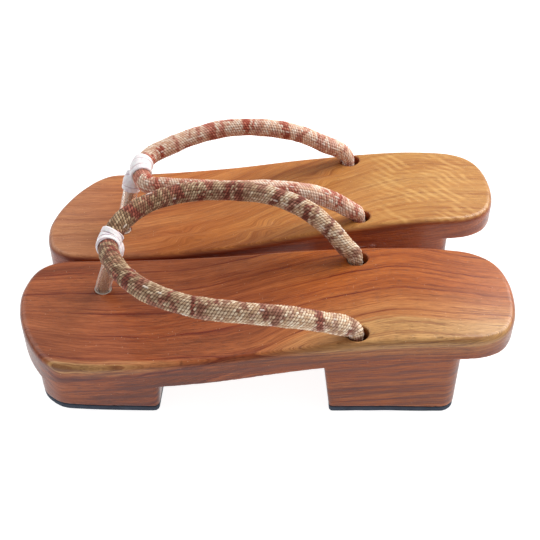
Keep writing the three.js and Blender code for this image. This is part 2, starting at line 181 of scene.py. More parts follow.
def to_frame(points, foot):
    """Slipper coordinates in millimetres to the shared frame in metres."""
    side = FEET[foot]
    x = points[..., 0] - LENGTH / 2
    y = -side * points[..., 1]
    c, s = math.cos(side * TOE_IN), math.sin(side * TOE_IN)
    across = x * s + y * c + side * PAIR_SPACING / 2 - PAIR_CENTRE[1]
    along = x * c - y * s + side * PAIR_STAGGER / 2 - PAIR_CENTRE[0]
    return np.stack([along, across, points[..., 2]], -1) * MM


# ---- Curves ----


def smoothstep(value, low, high):
    t = np.clip((value - low) / (high - low), 0, 1)
    return t * t * (3 - 2 * t)


def mix(a, b, t):
    return a + (b - a) * t


def centripetal(points, closed, per_span):
    """Samples of the centripetal Catmull-Rom curve through the points, as three.js draws it."""
    p = np.asarray(points, float)
    if closed:
        p = np.concatenate([p[-1:], p, p[:2]])
    else:
        p = np.concatenate([2 * p[:1] - p[1:2], p, 2 * p[-1:] - p[-2:-1]])
    t = np.arange(per_span)[:, None] / per_span
    samples = []
    for a, b, c, d in zip(p[:-3], p[1:-2], p[2:-1], p[3:]):
        before, here, after = (np.linalg.norm(v) ** 0.5 for v in (b - a, c - b, d - c))
        leave = here * ((b - a) / before - (c - a) / (before + here) + (c - b) / here)
        arrive = here * ((c - b) / here - (d - b) / (here + after) + (d - c) / after)
        samples.append(
            b + leave * t + (3 * (c - b) - 2 * leave - arrive) * t**2
            + (2 * (b - c) + leave + arrive) * t**3
        )
    if not closed:
        samples.append(p[-2:-1])
    return np.concatenate(samples)


class Axis:
    """A line in space measured by its length, with a frame that doesn't twist along it."""

    def __init__(self, points, up=(0, 0, 1), start=0.0):
        self.points = np.asarray(points, float)
        steps = np.linalg.norm(np.diff(self.points, axis=0), axis=1)
        self.lengths = np.concatenate([[0], np.cumsum(steps)])
        self.length = self.lengths[-1]
        tangents = np.gradient(self.points, self.lengths, axis=0)
        self.tangents = tangents / np.linalg.norm(tangents, axis=1)[:, None]
        first = int(np.argmin(np.abs(self.lengths - start)))
        self.normals = np.zeros_like(self.points)
        self.normals[first] = self._square(np.asarray(up, float), first)
        for i in range(first + 1, len(self.points)):
            self.normals[i] = self._square(self.normals[i - 1], i)
        for i in range(first - 1, -1, -1):
            self.normals[i] = self._square(self.normals[i + 1], i)

    def _square(self, vector, i):
        v = vector - vector.dot(self.tangents[i]) * self.tangents[i]
        return v / np.linalg.norm(v)

    def at(self, lengths):
        """Places, tangents, normals and binormals; past its ends the line goes on straight."""
        def along(values):
            return np.stack([np.interp(lengths, self.lengths, values[:, k]) for k in range(3)], -1)

        tangent = along(self.tangents)
        tangent /= np.linalg.norm(tangent, axis=-1, keepdims=True)
        normal = along(self.normals)
        normal -= (normal * tangent).sum(-1, keepdims=True) * tangent
        normal /= np.linalg.norm(normal, axis=-1, keepdims=True)
        past = lengths - np.clip(lengths, 0, self.length)
        return along(self.points) + past[..., None] * tangent, tangent, normal, np.cross(tangent, normal)

    def nearest(self, point):
        return self.lengths[int(np.argmin(np.linalg.norm(self.points - point, axis=1)))]


# ---- Meshes ----


def make_piece(name, foot, points, faces, material):
    """A mesh object from slipper coordinates. The mirrored slipper's faces are turned round."""
    mesh = bpy.data.meshes.new(name)
    if FEET[foot] > 0:
        faces = [face[::-1] for face in faces]
    mesh.from_pydata(to_frame(points, foot).tolist(), [], faces)
    mesh.polygons.foreach_set("use_smooth", [True] * len(mesh.polygons))
    store(mesh, "grain", points, "FLOAT_VECTOR")
    mesh.materials.append(material)
    mesh.update()
    piece = bpy.data.objects.new(name, mesh)
    bpy.context.scene.collection.objects.link(piece)
    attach(piece, foot + "_slipper")
    return piece


def store(mesh, name, values, kind="FLOAT"):
    """Keeps a value for each vertex, for the material to read."""
    attribute = mesh.attributes.new(name, kind, "POINT")
    key = "vector" if kind == "FLOAT_VECTOR" else "value"
    attribute.data.foreach_set(key, np.asarray(values, np.float32).ravel())


def turned(axis, stations, radii, closed):
    """The surface whose ring j stands at stations[j] on the axis with radii[j]. An open one has two poles."""
    count, around = radii.shape
    stations = np.broadcast_to(np.asarray(stations, float).reshape(count, -1), radii.shape)
    angle = np.arange(around) / around * TURN
    place, _, normal, binormal = axis.at(stations)
    points = place + radii[..., None] * (
        normal * np.cos(angle)[:, None] + binormal * np.sin(angle)[:, None]
    )
    index = np.arange(count * around).reshape(count, around)
    here, ahead = (index, np.roll(index, -1, 0)) if closed else (index[:-1], index[1:])
    beside, diagonal = np.roll(here, -1, 1), np.roll(ahead, -1, 1)
    faces = np.stack([here, beside, diagonal, ahead], -1).reshape(-1, 4).tolist()
    points = points.reshape(-1, 3)
    if not closed:
        poles = axis.at(np.array([stations[0].mean(), stations[-1].mean()]))[0]
        first, last = len(points), len(points) + 1
        points = np.concatenate([points, poles])
        ring, end = index[0], index[-1]
        faces += [[first, b, a] for a, b in zip(ring, np.roll(ring, -1))]
        faces += [[last, a, b] for a, b in zip(end, np.roll(end, -1))]
    return points, faces


def wrap(field, low, high, steps):
    """A closed mesh of quads round the region where the field is negative, its points on the surface."""
    axes = [np.arange(a, b + s, s) for a, b, s in zip(low, high, steps)]
    grid = np.stack(np.meshgrid(*axes, indexing="ij"), -1)
    value = field(grid)
    inside = value < 0
    cells = tuple(n - 1 for n in value.shape)
    total = np.zeros(cells + (3,))
    crossings = np.zeros(cells)
    for axis in range(3):
        near, far = np.take(value, range(cells[axis]), axis), np.take(value, range(1, cells[axis] + 1), axis)
        crossed = (near < 0) != (far < 0)
        share = np.where(crossed, near / np.where(near == far, 1, near - far), 0)
        place = np.take(grid, range(cells[axis]), axis).copy()
        place[..., axis] += share * steps[axis]
        place[~crossed] = 0
        others = [k for k in range(3) if k != axis]
        for one in (0, 1):
            for two in (0, 1):
                cut = [slice(None)] * 3
                cut[others[0]] = slice(one, one + cells[others[0]])
                cut[others[1]] = slice(two, two + cells[others[1]])
                total += place[tuple(cut)]
                crossings += crossed[tuple(cut)]
    number = np.full(cells, -1)
    used = crossings > 0
    number[used] = np.arange(used.sum())
    points = total[used] / crossings[used][:, None]
    faces = []
    for axis in range(3):
        a, b = (axis + 1) % 3, (axis + 2) % 3
        cut = [slice(1, -1)] * 3
        cut[axis] = slice(0, cells[axis])
        ahead = list(cut)
        ahead[axis] = slice(1, cells[axis] + 1)
        start, end = inside[tuple(cut)], inside[tuple(ahead)]
        for outward in (True, False):
            where = np.argwhere(start & ~end if outward else end & ~start)
            where[:, [a, b]] += 1
            corners = []
            for da, db in ((-1, -1), (0, -1), (0, 0), (-1, 0)):
                cell = where.copy()
                cell[:, a] += da
                cell[:, b] += db
                corners.append(number[tuple(cell.T)])
            quad = np.stack(corners if outward else corners[::-1], -1)
            faces.append(quad)
    return on_surface(field, points, min(steps)), np.concatenate(faces).tolist()


def slope(field, points):
    """The field's gradient."""
    reach = 0.05
    result = np.zeros_like(points)
    for axis in range(3):
        shift = np.zeros(3)
        shift[axis] = reach
        result[:, axis] = (field(points + shift) - field(points - shift)) / (2 * reach)
    return result


def on_surface(field, points, step):
    """Draws the points on to the surface, no further than half a step at a time."""
    for _ in range(4):
        gradient = slope(field, points)
        size = np.maximum((gradient**2).sum(1), 0.2)
        move = -(field(points) / size)[:, None] * gradient
        points = points + np.clip(move, -step / 2, step / 2)
    return points


def normals_of(field, points):
    normals = slope(field, points)
    return normals / np.linalg.norm(normals, axis=1)[:, None]


def shade(piece, normals, foot):
    """Takes the shading normals from the field itself, so that long curved faces reflect cleanly."""
    normals = (to_frame(normals, foot) - to_frame(np.zeros(3), foot)) / MM
    piece.data.normals_split_custom_set_from_vertices(normals.tolist())


# ---- The wooden sole as a field: negative in the wood, in millimetres outside it ----


def both(a, b, radius):
    """Where two fields are both negative, with the edge between them rounded."""
    a, b = a + radius, b + radius
    return np.minimum(np.maximum(a, b), 0) + np.hypot(np.maximum(a, 0), np.maximum(b, 0)) - radius


def deck_top(x):
    t = np.clip(x / DECK_STEP + 1, 1, len(DECK_HEIGHTS) - 2.0001)
    i = np.floor(t).astype(int)
    t = t - i
    heights = np.asarray(DECK_HEIGHTS)
    a, b, c, d = (heights[i + k] for k in (-1, 0, 1, 2))
    return b + 0.5 * t * (c - a + t * (2 * a - 5 * b + 4 * c - d + t * (3 * (b - c) + d - a)))


def deck_thickness(x):
    return mix(DECK_THICK_TOE, DECK_THICK_HEEL, np.clip(x / LENGTH, 0, 1))


def outline():
    inner = [(x, y) for x, y, _ in OUTLINE]
    outer = [(x, y) for x, _, y in reversed(OUTLINE)]
    return centripetal([(0, TOE_TIP_Y), *inner, (LENGTH, HEEL_TIP_Y), *outer], True, 8)


EDGE_LOW = np.array([-8.0, -52.0])
EDGE_HIGH = np.array([258.0, 52.0])


def distance_map():
    """The signed distance to the outline at every whole millimetre round it, negative inside."""
    a = outline()
    b = np.roll(a, -1, 0)
    xs, ys = (np.arange(lo, hi + 1) for lo, hi in zip(EDGE_LOW, EDGE_HIGH))
    spots = np.stack(np.meshgrid(xs, ys, indexing="ij"), -1)
    nearest = np.full(spots.shape[:2], 1e9)
    inside = np.zeros(spots.shape[:2], bool)
    for p, q in zip(a, b):
        along = q - p
        t = np.clip(((spots - p) @ along) / (along @ along), 0, 1)
        nearest = np.minimum(nearest, np.linalg.norm(spots - p - t[..., None] * along, axis=-1))
        if p[1] != q[1]:
            between = (spots[..., 1] < p[1]) != (spots[..., 1] < q[1])
            meets = p[0] + (spots[..., 1] - p[1]) * along[0] / along[1]
            inside ^= between & (spots[..., 0] < meets)
    return np.where(inside, -nearest, nearest)


EDGE_MAP = distance_map()


def cubic_weights(t):
    return (
        0.5 * t * (-1 + t * (2 - t)),
        1 + 0.5 * t * t * (3 * t - 5),
        0.5 * t * (1 + t * (4 - 3 * t)),
        0.5 * t * t * (t - 1),
    )


def edge_distance(x, y):
    """The signed distance to the outline, smoothly between the map's points."""
    u = np.clip(x - EDGE_LOW[0], 1, EDGE_MAP.shape[0] - 3.001)
    v = np.clip(y - EDGE_LOW[1], 1, EDGE_MAP.shape[1] - 3.001)
    i, j = np.floor(u).astype(int), np.floor(v).astype(int)
    result = 0
    for di, wu in enumerate(cubic_weights(u - i)):
        for dj, wv in enumerate(cubic_weights(v - j)):
            result = result + wu * wv * EDGE_MAP[i + di - 1, j + dj - 1]
    return result


def block_walls(x, y, z, plan):
    """A block's upright walls: the outline along the sides, its own two ends, and round corners."""
    middle = (plan["start"] + plan["end"]) / 2
    half = (plan["end"] - plan["start"]) / 2
    low = z - BLOCK_BOTTOM
    if plan is HEEL_BLOCK:
        shift = HEEL_FRONT_LEAN * (HEEL_LEAN_HEIGHT - low) - HEEL_FRONT_SKEW * (y - HEEL_OUTER_EDGE)
        x = x - np.where(x < middle, shift, 0) * smoothstep(middle - x, 0, LEAN_BLEND)
    else:
        shift = FRONT_REAR_LEAN * np.maximum(FRONT_LEAN_HEIGHT - low, 0) - FRONT_REAR_SET
        x = x + np.where(x > middle, shift, 0) * smoothstep(x, middle, middle + LEAN_BLEND)
    front, rear = plan["corners"]
    return both(edge_distance(x, y), np.abs(x - middle) - half, np.where(x < middle, front, rear))


def rear_hole(side):
    """The hole's mouth on the deck and its direction down, which leans inwards."""
    x, y = REAR_HOLES[side]
    mouth = np.array([x, y, float(deck_top(np.array(x)))])
    down = np.array([0, -math.copysign(REAR_HOLE_SLANT, y), -1])
    return mouth, down / np.linalg.norm(down)


def sole_field(p):
    x, y, z = p[..., 0], p[..., 1], p[..., 2]
    edge = edge_distance(x, y)
    top = deck_top(x)
    tilt = 1 / np.sqrt(1 + (deck_top(x + 0.5) - deck_top(x - 0.5)) ** 2)
    deck = both(edge, (z - top) * tilt, TOP_ROUND)
    deck = both(deck, (top - deck_thickness(x) - z) * tilt, UNDER_ROUND)
    wood = deck
    for plan in (FRONT_BLOCK, HEEL_BLOCK):
        walls = block_walls(x, y, z, plan)
        wood = np.minimum(wood, both(walls, np.maximum(BLOCK_BOTTOM - z, z - plan["top"]), BLOCK_ROUND))
    hx, hy, radius = TOE_HOLE
    reach = np.hypot(x - hx, y - hy)
    wood = both(wood, radius - reach, TOE_HOLE_RIM)
    wood = both(wood, -np.maximum(reach - TOE_POCKET[0], z - TOE_POCKET[1]), POCKET_RIM)
    for side in REAR_HOLES:
        mouth, down = rear_hole(side)
        offset = p - mouth
        beside = offset - (offset @ down)[..., None] * down
        wood = both(wood, REAR_HOLE_RADIUS - np.linalg.norm(beside, axis=-1), HOLE_RIM)
        pocket_y = math.copysign(REAR_POCKET["y"], mouth[1])
        pocket = np.hypot(x - mouth[0], y - pocket_y) - REAR_POCKET["radius"]
        wood = both(wood, -np.maximum(pocket, z - REAR_POCKET["top"]), POCKET_RIM)
    return wood


def pad_field(plan):
    def field(p):
        x, y, z = p[..., 0], p[..., 1], p[..., 2]
        walls = block_walls(x, y, np.full_like(z, BLOCK_BOTTOM), plan) + PAD_INSET
        return both(walls, np.abs(z - PAD_THICK / 2) - PAD_THICK / 2, PAD_ROUND)
    return field


# ---- Materials ----


class Nodes:
    """A material's node tree, written as calls that each add one node and return its output."""

    def __init__(self, name):
        self.material = bpy.data.materials.new(name)
        self.material.use_nodes = True
        self.tree = self.material.node_tree
        self.tree.nodes.clear()
        self.output = self.tree.nodes.new("ShaderNodeOutputMaterial")

    def add(self, kind, inputs=(), result=0, **settings):
        node = self.tree.nodes.new("ShaderNode" + kind)
        for key, value in settings.items():
            setattr(node, key, value)
        for key, value in dict(inputs).items():
            socket = node.inputs[key]
            if isinstance(value, bpy.types.NodeSocket):
                self.tree.links.new(value, socket)
            else:
                socket.default_value = value
        return node.outputs[result]

    def math(self, operation, *values):
        return self.add("Math", dict(enumerate(values)), operation=operation)

    def plus(self, a, b):
        return self.math("ADD", a, b)

    def times(self, a, b):
        return self.math("MULTIPLY", a, b)

    def vector_math(self, operation, *values):
        return self.add("VectorMath", dict(enumerate(values)), operation=operation)

    def attribute(self, name, result="Fac"):
        return self.add("Attribute", attribute_name=name, result=result)

    def combine(self, x, y, z):
        return self.add("CombineXYZ", {0: x, 1: y, 2: z})

    def split(self, vector):
        return self.add("SeparateXYZ", {0: vector}).node.outputs[:3]

    def scaled(self, vector, scale):
        return self.vector_math("MULTIPLY", vector, scale)

    def moved(self, vector, scale, shift):
        return self.vector_math("MULTIPLY_ADD", vector, scale, shift)

    def noise(self, vector, scale=1.0, detail=2.0, roughness=0.5):
        return self.add("TexNoise", {"Vector": vector, "Scale": scale, "Detail": detail,
                                     "Roughness": roughness})

    def range(self, value, low, high, to_low=0.0, to_high=1.0, smooth=True):
        kind = "SMOOTHSTEP" if smooth else "LINEAR"
        return self.add("MapRange", {"Value": value, "From Min": low, "From Max": high,
                                     "To Min": to_low, "To Max": to_high}, interpolation_type=kind)

    def ramp(self, value, stops):
        output = self.add("ValToRGB", {"Fac": value})
        band = output.node.color_ramp
        while len(band.elements) < len(stops):
            band.elements.new(0.5)
        for element, (place, color) in zip(band.elements, stops):
            element.position = place
            element.color = (*linear(color), 1)
        return output

    def blend(self, share, a, b, kind="MIX"):
        a, b = ((*linear(c), 1) if isinstance(c, tuple) else c for c in (a, b))
        node = self.tree.nodes.new("ShaderNodeMix")
        node.data_type = "RGBA"
        node.blend_type = kind
        for socket, value in ((node.inputs[0], share), (node.inputs[6], a), (node.inputs[7], b)):
            if isinstance(value, bpy.types.NodeSocket):
                self.tree.links.new(value, socket)
            else:
                socket.default_value = value
        return node.outputs[2]

    def bump(self, height, distance):
        return self.add("Bump", {"Height": height, "Distance": distance * MM, "Strength": 1.0})

    def finish(self, **inputs):
        shader = self.add("BsdfPrincipled", {k.replace("_", " "): v for k, v in inputs.items()})
        self.tree.links.new(shader, self.output.inputs["Surface"])
        return self.material


def linear(color):
    """An sRGB colour, 0 to 255, as scene-linear numbers."""
    return tuple((c / 255 / 12.92) if c < 10.3 else ((c / 255 + 0.055) / 1.055) ** 2.4 for c in color)


# The left slipper is red-brown with pale sapwood along its outer edge, the right one golden with a rippled
# heel. Each list runs over the wood's slow change of tone. Rings and sapwood lie at their own depths, which
# ring_depth() works out. "sides" is the painted shade laid over the sides, and "toe" the share and colour
# of a painted hazy sheen over the toe end.
WOODS = {
    "left": {
        "seed": 3.0, "ring_width": 16.3, "first_ring": -36.0,
        "heart": [(0.38, (134, 68, 37)), (0.46, (156, 82, 45)),
                  (0.54, (172, 94, 53)), (0.64, (190, 110, 64))],
        "heel": [(0.36, (168, 88, 36)), (0.46, (184, 99, 42)),
                 (0.56, (194, 110, 48)), (0.68, (204, 126, 60))],
        "sap": [(0.36, (200, 153, 97)), (0.5, (212, 165, 107)), (0.65, (224, 181, 123))],
        "sides": (240, 228, 208), "side_line": (78, 44, 46), "toe": (0.0, (190, 150, 126)),
        "heel_from": 88.0, "heel_to": 205.0, "streaks": 0.4,
        "sap_edge": -38.3, "line": (118, 40, 18), "lines": 0.95, "dark": (60, 26, 14),
    },
    "right": {
        "seed": 11.0, "ring_width": 14.0, "first_ring": 4.0,
        "heart": [(0.36, (158, 84, 38)), (0.46, (182, 104, 48)),
                  (0.56, (196, 120, 60)), (0.68, (212, 140, 78))],
        "heel": [(0.36, (176, 116, 56)), (0.46, (190, 134, 72)),
                 (0.56, (199, 147, 82)), (0.68, (208, 162, 98))],
        "sap": [(0.3, (176, 120, 66)), (0.6, (214, 164, 96)), (0.8, (226, 184, 116))],
        "heel_from": 60.0, "heel_to": 200.0, "streaks": 0.28,
        "sides": (228, 132, 96), "side_line": (104, 42, 30), "toe": (0.4, (190, 150, 126)),
        "sap_edge": -90.0, "line": (130, 62, 26), "lines": 0.4, "dark": (96, 44, 20),
    },
}
KNOTS = [(79, 23.6), (119.5, 25.8), (156, -14.4)]


def ring_depth(foot, p):
    """How deep each point lies in the stack of growth rings, which are sheets along the sole."""
    x, y, z = p[:, 0], p[:, 1], p[:, 2]
    if foot == "right":
        return y + 2.7 * (z - 30)
    gentle = 23 * smoothstep(x, 70, 200)
    steep = 17 * smoothstep(x, 118, 160) + 6 * smoothstep(x, 146, 195)
    rise = mix(steep, gentle, smoothstep(y, -32, 0))
    fall = (6.5 + 0.18 * y) * smoothstep(x, 192, 250)
    toe_turn = 13 * np.exp(-x / 20) * np.clip(-y / 35, -0.4, 1)
    tilt = mix(0.8, 3.5, smoothstep(x, 70, 160))
    return y - rise + fall - toe_turn - tilt * (z - deck_top(x))


def wood(foot):
    """Lacquered wood, solid through the sole: rings, vessels, fibres, paler sapwood and lacquer specks, with
    painted shade on the sides and ends and a painted hazy sheen at the right slipper's toe.
    """
    look = WOODS[foot]
    n = Nodes(foot + "_wood")
    place = n.attribute("grain", "Vector")
    x, y, z = n.split(place)
    upward = n.attribute("upward")
    seed = look["seed"]

    # The rings are bent a little by slow noise and by knots.
    slow = n.noise(n.moved(place, (0.011, 0.02, 0.03), (seed, seed, 0)), detail=2)
    bend = n.noise(n.moved(place, (0.03, 0.04, 0.04), (0, seed, seed)), detail=3)
    depth = n.attribute("depth")
    depth = n.plus(depth, n.range(slow, 0.2, 0.8, -1.6, 1.6, smooth=False))
    depth = n.plus(depth, n.range(bend, 0.2, 0.8, -1.4, 1.4, smooth=False))
    if foot == "right":
        depth = round_knots(n, x, y, depth)

    def lengthwise(run, width, detail, offset):
        """Noise drawn out along the rings, about 1/run millimetres long and 1/width wide."""
        space = n.combine(n.times(x, run), n.times(depth, width), n.times(z, 0.02))
        return n.noise(n.vector_math("ADD", space, (offset, 0, seed)), detail=detail, roughness=0.6)

    # Slow bands of tone, then finer ones.
    tone = n.plus(n.times(lengthwise(0.008, 0.07, 1, 0), 0.5), n.times(lengthwise(0.02, 0.4, 3, 3), 0.5))
    heart = n.ramp(tone, look["heart"])
    heel = n.range(n.plus(x, n.range(slow, 0.3, 0.7, -30.0, 30.0, smooth=False)),
                   look["heel_from"], look["heel_to"])
    heart = n.blend(n.times(heel, 0.9), heart, n.ramp(tone, look["heel"]))
    frayed = n.plus(depth, n.range(lengthwise(0.012, 0.35, 2, 20), 0.3, 0.7, -2.2, 2.2, smooth=False))
    sapwood = n.range(frayed, look["sap_edge"] - 4.5, look["sap_edge"] + 2.0, 1.0, 0.0)
    sapwood = n.times(sapwood, n.math("MAXIMUM", n.range(x, 98.0, 75.0), n.range(x, 112.0, 176.0)))
    paler = n.times(n.range(frayed, look["sap_edge"], look["sap_edge"] + 24.0, 0.34, 0.0), heel)
    color = n.blend(n.math("MAXIMUM", n.times(sapwood, 0.9), paler), heart, n.ramp(tone, look["sap"]))
    # Painted hazy sheen: the wood is paled towards the toe end, by the share that "toe" gives (none on the
    # left).
    share, toe_sheen = look["toe"]
    color = n.blend(n.range(x, 75.0, 0.0, 0.0, share), color, toe_sheen)

    # Late wood: a thin dark line where each ring ends and a softer shade beside it, stronger in places.
    count = n.math("DIVIDE", n.math("SUBTRACT", depth, look["first_ring"]), look["ring_width"])
    part = n.math("FRACT", count)
    patch = n.noise(n.moved(place, (0.02, 0.06, 0.05), (seed, 5, 5)), detail=1)
    broken = n.range(lengthwise(0.05, 0.3, 2, 9), 0.35, 0.6, 0.45, 1.0)
    shade = n.times(n.range(part, 0.0, 0.12, 1.0, 0.0), 0.28)
    thin = n.times(n.range(part, 0.93, 0.955), broken)
    late = n.math("MAXIMUM", shade, n.times(thin, look["lines"]))
    late = n.times(late, n.range(patch, 0.3, 0.55, 0.45, 1.0))
    late = n.times(late, n.range(sapwood, 0.3, 1.0, 1.0, 0.5))
    color = n.blend(late, color, look["line"])
    minor = lengthwise(0.012, 0.42, 2, 6)
    minor_line = n.times(n.range(minor, 0.58, 0.62), n.range(minor, 0.68, 0.63))
    color = n.blend(n.times(minor_line, look["lines"] * 0.5), color, look["line"])

    # Fibres, and the short dark vessels between them.
    fibre = lengthwise(0.12, 2.1, 3, 12)
    streaks = n.range(fibre, 0.36, 0.64, 0.0, look["streaks"] * 1.5)
    color = n.blend(streaks, color, (190, 170, 158), "MULTIPLY")
    vessel = lengthwise(0.27, 2.6, 2, 15)
    vessels = n.times(n.range(vessel, 0.55, 0.64), n.range(patch, 0.25, 0.7, 0.4, 1.0))
    color = n.blend(n.times(vessels, look["streaks"]), color, look["dark"])

    if foot == "right":
        color = ripples(n, x, y, upward, color)

    specks = n.add("TexVoronoi", {"Vector": place, "Scale": 0.6}, feature="F1")
    near = n.range(specks, 0.15, 0.07)
    chance = n.add("SeparateColor", {0: specks.node.outputs["Color"]})
    seen = n.times(near, n.math("GREATER_THAN", chance, 0.88))
    color = n.blend(n.times(seen, 0.4), color, (250, 226, 190))

    # Painted shade darkens the sides against the flat top. The toe and heel ends are darker still, partly as
    # end grain that takes the lacquer darker and partly as painted shade.
    sides = n.math("SUBTRACT", 1.0, upward)
    side_shade = n.times(sides, n.range(sapwood, 0.0, 1.0, 0.75, 0.4))
    color = n.blend(side_shade, color, look["sides"], "MULTIPLY")
    color = side_figure(n, look, (x, z), bend, sides, color)
    ends = n.attribute("end_grain")
    color = n.blend(n.times(ends, 0.45), color, (150, 120, 110), "MULTIPLY")
    height = n.math("SUBTRACT", n.times(fibre, 0.3), n.times(vessels, 0.5))
    rough = n.range(fibre, 0.3, 0.7, 0.3, 0.42, smooth=False)
    return n.finish(Base_Color=color, Roughness=rough, Normal=n.bump(height, 0.1),
                    Specular_IOR_Level=0.25, Coat_Weight=0.3, Coat_Roughness=0.2, Coat_IOR=1.45)


def side_figure(n, look, place, bend, sides, color):
    """On the sides the rings are cut nearly edge-on: dark lines along the sole, broad ones and fine ones."""
    x, z = place
    level = n.math("MULTIPLY_ADD", x, -0.12, z)
    level = n.plus(level, n.range(bend, 0.2, 0.8, -1.5, 1.5, smooth=False))
    broad = n.noise(n.combine(n.times(x, 0.012), n.times(level, 0.28), look["seed"]), detail=2)
    fine = n.noise(n.combine(n.times(x, 0.07), n.times(level, 1.5), look["seed"]),
                   detail=3, roughness=0.65)
    lines = n.math("MAXIMUM", n.range(broad, 0.5, 0.6, 0.0, 0.55), n.range(fine, 0.46, 0.66, 0.0, 0.6))
    return n.blend(n.times(lines, sides), color, look["side_line"])


def round_knots(n, x, y, depth):
    """The grain bends round small knots."""
    for place_x, place_y in KNOTS:
        along = n.times(n.math("SUBTRACT", x, place_x), 0.55)
        across = n.math("SUBTRACT", y, place_y)
        reach = n.math("SQRT", n.plus(n.times(along, along), n.times(across, across)))
        push = n.range(reach, 1.0, 9.0, 5.0, 0.0)
        depth = n.plus(depth, n.times(push, n.range(across, -2.0, 2.0, -1.0, 1.0)))
    return depth


def ripples(n, x, y, upward, color):
    """Cross-grain figure on the heel's top: soft golden bars that run askew over the deck."""
    askew = n.math("SUBTRACT", x, y)
    wander = n.noise(n.combine(n.times(x, 0.03), n.times(y, 0.05), 2.0), detail=2)
    phase = n.plus(n.times(askew, TURN / 6.6), n.times(wander, 16.0))
    wave = n.range(n.math("SINE", phase), -0.7, 1.0)
    heel = n.range(x, 168.0, 205.0)
    patch = n.range(n.noise(n.combine(n.times(x, 0.06), n.times(y, 0.07), 7.0)), 0.4, 0.62)
    share = n.times(n.times(wave, heel), n.times(patch, upward))
    return n.blend(n.times(share, 0.34), color, (244, 196, 122))


def rubber():
    n = Nodes("rubber")
    place = n.attribute("grain", "Vector")
    grit = n.noise(place, scale=2.2, detail=3, roughness=0.7)
    cloud = n.noise(place, scale=0.12, detail=2)
    color = n.ramp(cloud, [(0.35, (44, 54, 70)), (0.65, (58, 68, 84))])
    color = n.blend(n.range(grit, 0.5, 0.75, 0.0, 0.35), color, (96, 104, 118))
    rough = n.range(grit, 0.3, 0.7, 0.6, 0.85, smooth=False)
    return n.finish(Base_Color=color, Roughness=rough, Normal=n.bump(grit, 0.25), Specular_IOR_Level=0.35)


# In each cloth the gap colours are painted shade, for the hollows between the threads.
CLOTHS = {
    "left": {"cream": [(0.0, (206, 168, 132)), (0.5, (236, 208, 176)), (1.0, (255, 242, 220))],
             "red": [(0.0, (106, 42, 32)), (0.6, (140, 66, 50)), (1.0, (180, 100, 80))],
             "gap_shade": (160, 116, 90), "red_gap_shade": (76, 28, 20)},
    "right": {"cream": [(0.0, (240, 190, 160)), (0.5, (255, 226, 206)), (1.0, (255, 248, 238))],
              "red": [(0.0, (158, 66, 48)), (0.6, (196, 98, 76)), (1.0, (222, 136, 112))],
              "gap_shade": (208, 158, 132), "red_gap_shade": (118, 50, 38)},
}


def strap_cloth(foot):
    """Basket weave: a short grain of thread at each crossing, cream or dyed red, with painted shade in the
    gaps between.
    """
    look = CLOTHS[foot]
    n = Nodes(foot + "_strap_cloth")
    place = n.attribute("grain", "Vector")
    length, cosine, sine = n.split(n.attribute("lay", "Vector"))
    across = n.times(n.plus(n.math("ARCTAN2", sine, cosine), math.pi), THREAD_ROWS / TURN)
    row = n.math("FLOOR", across)
    beside = n.math("SUBTRACT", across, row)
    odd = n.times(n.math("FLOORED_MODULO", row, 2.0), 0.5)
    slanted = n.times(n.math("SUBTRACT", beside, 0.5), THREAD_SLANT)
    count = n.plus(n.plus(n.math("DIVIDE", length, THREAD_PITCH), odd), slanted)
    thread = n.math("FLOOR", count)
    along = n.math("SUBTRACT", count, thread)
    over_row = n.math("MULTIPLY_ADD", n.math("SINE", n.times(beside, math.pi)), 0.75, 0.25)
    hump = n.times(over_row, n.math("SINE", n.times(along, math.pi)))
    tone = n.add("TexWhiteNoise", {"Vector": n.combine(row, thread, 0.5)}, noise_dimensions="2D")
    dye, stitch, strap_shade = n.split(n.attribute("dye_stitch_shade", "Vector"))
    fuzz = n.noise(place, scale=2.6, detail=3, roughness=0.7)
    cream = n.ramp(tone, look["cream"])
    # The brown ramp is the cream under painted shade, laid over the strap's middle.
    brown = n.ramp(tone, [(0.0, (126, 92, 66)), (0.5, (164, 130, 98)), (1.0, (214, 186, 150))])
    color = n.blend(dye, n.blend(strap_shade, cream, brown), n.ramp(tone, look["red"]))
    # Painted shade in the hollows between threads, deeper where the strap is shaded over its middle.
    gap_shade = n.blend(dye, n.blend(strap_shade, look["gap_shade"], (74, 46, 28)), look["red_gap_shade"])
    color = n.blend(n.range(hump, 0.08, 0.5), gap_shade, color)
    color = n.blend(stitch, color, (244, 236, 228))
    color = n.blend(n.range(fuzz, 0.35, 0.7, 0.0, 0.2), color, (206, 196, 186), "MULTIPLY")
    return n.finish(Base_Color=color, Roughness=0.8, Normal=n.bump(fuzz, 0.12), Specular_IOR_Level=0.3,
                    Sheen_Weight=0.1, Sheen_Roughness=0.5)


def tape():
    n = Nodes("tape")
    place = n.attribute("grain", "Vector")
    cloud = n.noise(place, scale=0.35, detail=3)
    crease = n.noise(n.scaled(place, (0.8, 1.6, 2.6)), detail=3, roughness=0.6)
    color = n.ramp(cloud, [(0.3, (236, 228, 234)), (0.5, (250, 247, 249)), (0.7, (228, 218, 228))])
    # Painted shade in the crease where each turn of tape lies over the next.
    groove_shade = n.attribute("fold_shade")
    color = n.blend(n.times(groove_shade, 0.65), color, (190, 150, 162))
    return n.finish(Base_Color=color, Roughness=0.55, Normal=n.bump(crease, 0.25), Specular_IOR_Level=0.4,
                    Subsurface_Weight=0.1, Subsurface_Radius=(0.002, 0.001, 0.001))


